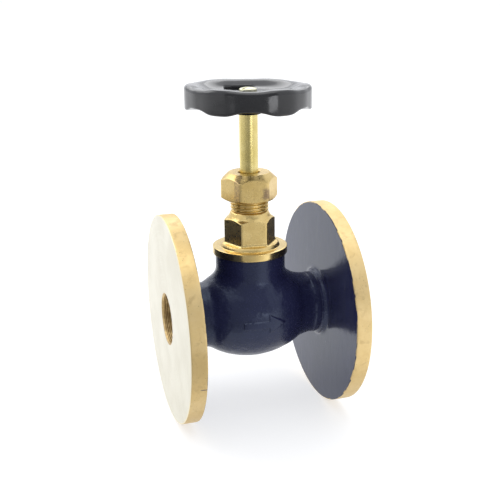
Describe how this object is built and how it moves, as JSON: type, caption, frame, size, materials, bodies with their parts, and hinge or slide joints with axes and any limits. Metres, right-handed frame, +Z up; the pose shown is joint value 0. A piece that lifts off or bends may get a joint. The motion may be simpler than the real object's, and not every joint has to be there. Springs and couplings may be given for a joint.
{
  "type": "globe valve",
  "caption": "Flanged globe valve with a bulb-shaped body, undrilled round flanges, hexagonal screwed bonnet and gland nut, rising stem and lobed handwheel.",
  "frame": {"origin": "under the stem axis, on the plane that the two flange rims stand on, midway between the flanges", "axes": "+X along the ports, from inlet to outlet; +Z up the stem, towards the handwheel; +Y completes the right-handed frame"},
  "size_m": [0.0966, 0.115, 0.1829],
  "materials": {
    "blue_paint": "glossy dark blue brushing enamel over bronze, bare machined bronze on the outer faces and rims of the flanges",
    "bronze": "machined and cast gunmetal bronze",
    "stem_brass": "bright drawn brass",
    "nut_brass": "machined brass, faintly tool-marked",
    "ptfe": "off-white PTFE",
    "black_enamel": "glossy black stove enamel on cast iron",
    "screw_brass": "bright brass"
  },
  "bodies": {
    "valve_body": {"body": "blue_paint", "seat_ring": "bronze", "bonnet": "bronze", "bonnet_gasket": "ptfe", "packing_washer": "nut_brass", "packing_ring_1": "ptfe", "packing_ring_2": "ptfe", "packing_ring_3": "ptfe", "packing_ring_4": "ptfe"},
    "disc_carrier": {"disc": "bronze", "disc_nut": "nut_brass"},
    "spindle": {"stem": "stem_brass", "handwheel": "black_enamel", "handwheel_screw": "screw_brass"},
    "gland_follower": {"gland": "nut_brass"},
    "gland_nut": {"gland_nut": "nut_brass"}
  },
  "joints": [
    {"name": "stem_lift", "type": "slide", "parent": "valve_body", "child": "disc_carrier", "axis": [0, 0, 1], "range_m": [-0.009, 0]},
    {"name": "handwheel_turn", "type": "hinge", "parent": "disc_carrier", "child": "spindle", "pos_m": [0, 0, 0.0575], "axis": [0, 0, 1], "range_deg": [-1080, 0]},
    {"name": "gland_travel", "type": "slide", "parent": "valve_body", "child": "gland_follower", "axis": [0, 0, 1], "range_m": [0, 0.00726]},
    {"name": "gland_nut_turn", "type": "hinge", "parent": "gland_follower", "child": "gland_nut", "pos_m": [0, 0, 0.1215], "axis": [0, 0, 1], "range_deg": [0, 1440]}
  ],
  "couplings": [
    {"joint": "stem_lift", "follows": "handwheel_turn", "m_per_rad": 0.00047746},
    {"joint": "gland_travel", "follows": "gland_nut_turn", "m_per_rad": 0.0002887}
  ]
}
